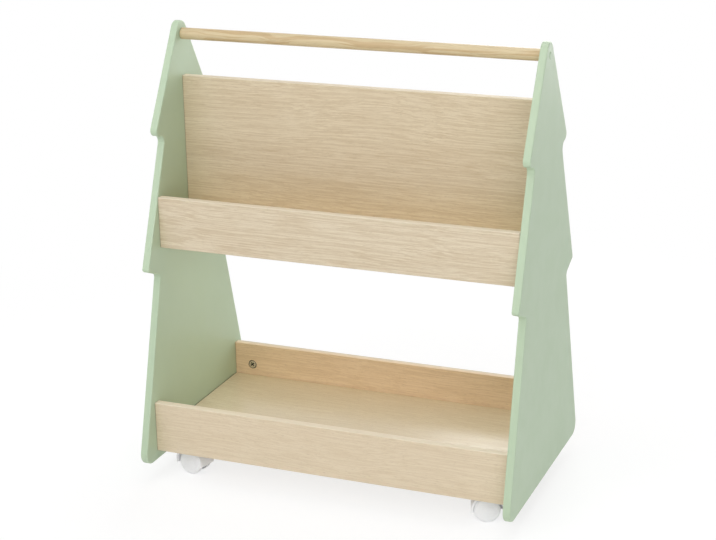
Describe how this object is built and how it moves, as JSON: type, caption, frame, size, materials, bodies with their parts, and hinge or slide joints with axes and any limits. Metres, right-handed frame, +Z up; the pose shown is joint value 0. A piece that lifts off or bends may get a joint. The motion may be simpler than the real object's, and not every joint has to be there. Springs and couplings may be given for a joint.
{
  "type": "mobile book rack",
  "caption": "Low double-sided book rack on swivel casters with fir-tree side panels, an upper display bin, a lower tray and a round carrying rail.",
  "frame": {"origin": "on the ground under the centre of the rack, at the bottom centre of its bounding box", "axes": "+Z up, -Y towards the front, the long sides face -Y and +Y, and +X runs to the right along the boards"},
  "size_m": [0.6026, 0.3546, 0.7004],
  "materials": {
    "mint_lacquer": "satin mint-green lacquer on fibreboard",
    "oak_laminate": "light oak wood-grain laminate, matt",
    "pine": "clear-varnished pine",
    "nickel_steel": "nickel-plated steel",
    "zinc_alloy": "die-cast zinc, tumbled",
    "mint_cap": "moulded cap in the panel colour",
    "white_nylon": "moulded white nylon, satin"
  },
  "bodies": {
    "rack": {"side_panel_left": "mint_lacquer", "side_panel_right": "mint_lacquer", "tray_front_board": "oak_laminate", "tray_rear_board": "oak_laminate", "tray_floor_board": "oak_laminate", "bin_front_lip": "oak_laminate", "bin_rear_lip": "oak_laminate", "bin_shelf_board": "oak_laminate", "bin_divider": "oak_laminate", "handle_rail": "pine", "cam_tray_front_board_left": "zinc_alloy", "cam_tray_front_board_right": "zinc_alloy", "cam_tray_rear_board_left": "zinc_alloy", "cam_tray_rear_board_right": "zinc_alloy", "cam_tray_floor_board_left": "zinc_alloy", "cam_tray_floor_board_right": "zinc_alloy", "cam_bin_front_lip_left": "zinc_alloy", "cam_bin_front_lip_right": "zinc_alloy", "cam_bin_rear_lip_left": "zinc_alloy", "cam_bin_rear_lip_right": "zinc_alloy", "cam_bin_shelf_board_left": "zinc_alloy", "cam_bin_shelf_board_right": "zinc_alloy", "cam_bin_divider_left": "zinc_alloy", "cam_bin_divider_right": "zinc_alloy", "cam_bolt_tray_front_board_left": "nickel_steel", "cam_bolt_tray_front_board_right": "nickel_steel", "cam_bolt_tray_rear_board_left": "nickel_steel", "cam_bolt_tray_rear_board_right": "nickel_steel", "cam_bolt_tray_floor_board_left": "nickel_steel", "cam_bolt_tray_floor_board_right": "nickel_steel", "cam_bolt_bin_front_lip_left": "nickel_steel", "cam_bolt_bin_front_lip_right": "nickel_steel", "cam_bolt_bin_rear_lip_left": "nickel_steel", "cam_bolt_bin_rear_lip_right": "nickel_steel", "cam_bolt_bin_shelf_board_left": "nickel_steel", "cam_bolt_bin_shelf_board_right": "nickel_steel", "cam_bolt_bin_divider_left": "nickel_steel", "cam_bolt_bin_divider_right": "nickel_steel", "rail_screw_left": "mint_cap", "rail_screw_right": "mint_cap", "caster_front_left_plate": "nickel_steel", "caster_front_right_plate": "nickel_steel", "caster_rear_left_plate": "nickel_steel", "caster_rear_right_plate": "nickel_steel"},
    "caster_front_left": {"caster_front_left_hood": "white_nylon", "caster_front_left_axle": "nickel_steel"},
    "wheel_front_left_a": {"caster_front_left_wheel_a": "white_nylon"},
    "wheel_front_left_b": {"caster_front_left_wheel_b": "white_nylon"},
    "caster_front_right": {"caster_front_right_hood": "white_nylon", "caster_front_right_axle": "nickel_steel"},
    "wheel_front_right_a": {"caster_front_right_wheel_a": "white_nylon"},
    "wheel_front_right_b": {"caster_front_right_wheel_b": "white_nylon"},
    "caster_rear_left": {"caster_rear_left_hood": "white_nylon", "caster_rear_left_axle": "nickel_steel"},
    "wheel_rear_left_a": {"caster_rear_left_wheel_a": "white_nylon"},
    "wheel_rear_left_b": {"caster_rear_left_wheel_b": "white_nylon"},
    "caster_rear_right": {"caster_rear_right_hood": "white_nylon", "caster_rear_right_axle": "nickel_steel"},
    "wheel_rear_right_a": {"caster_rear_right_wheel_a": "white_nylon"},
    "wheel_rear_right_b": {"caster_rear_right_wheel_b": "white_nylon"}
  },
  "joints": [
    {"name": "swivel_front_left", "type": "hinge", "parent": "rack", "child": "caster_front_left", "pos_m": [-0.252, -0.1045, 0.0504], "axis": [0, 0, 1], "continuous": true},
    {"name": "roll_front_left_a", "type": "hinge", "parent": "caster_front_left", "child": "wheel_front_left_a", "pos_m": [-0.24222, -0.10658, 0.02], "axis": [0.2079, 0.9781, 0], "continuous": true},
    {"name": "roll_front_left_b", "type": "hinge", "parent": "caster_front_left", "child": "wheel_front_left_b", "pos_m": [-0.24222, -0.10658, 0.02], "axis": [0.2079, 0.9781, 0], "continuous": true},
    {"name": "swivel_front_right", "type": "hinge", "parent": "rack", "child": "caster_front_right", "pos_m": [0.252, -0.1045, 0.0504], "axis": [0, 0, 1], "continuous": true},
    {"name": "roll_front_right_a", "type": "hinge", "parent": "caster_front_right", "child": "wheel_front_right_a", "pos_m": [0.24255, -0.10776, 0.02], "axis": [0.3256, -0.9455, 0], "continuous": true},
    {"name": "roll_front_right_b", "type": "hinge", "parent": "caster_front_right", "child": "wheel_front_right_b", "pos_m": [0.24255, -0.10776, 0.02], "axis": [0.3256, -0.9455, 0], "continuous": true},
    {"name": "swivel_rear_left", "type": "hinge", "parent": "rack", "child": "caster_rear_left", "pos_m": [-0.252, 0.1045, 0.0504], "axis": [0, 0, 1], "continuous": true},
    {"name": "roll_rear_left_a", "type": "hinge", "parent": "caster_rear_left", "child": "wheel_rear_left_a", "pos_m": [-0.24317, 0.1092, 0.02], "axis": [-0.4695, 0.8829, 0], "continuous": true},
    {"name": "roll_rear_left_b", "type": "hinge", "parent": "caster_rear_left", "child": "wheel_rear_left_b", "pos_m": [-0.24317, 0.1092, 0.02], "axis": [-0.4695, 0.8829, 0], "continuous": true},
    {"name": "swivel_rear_right", "type": "hinge", "parent": "rack", "child": "caster_rear_right", "pos_m": [0.252, 0.1045, 0.0504], "axis": [0, 0, 1], "continuous": true},
    {"name": "roll_rear_right_a", "type": "hinge", "parent": "caster_rear_right", "child": "wheel_rear_right_a", "pos_m": [0.2426, 0.10792, 0.02], "axis": [-0.342, -0.9397, 0], "continuous": true},
    {"name": "roll_rear_right_b", "type": "hinge", "parent": "caster_rear_right", "child": "wheel_rear_right_b", "pos_m": [0.2426, 0.10792, 0.02], "axis": [-0.342, -0.9397, 0], "continuous": true}
  ]
}
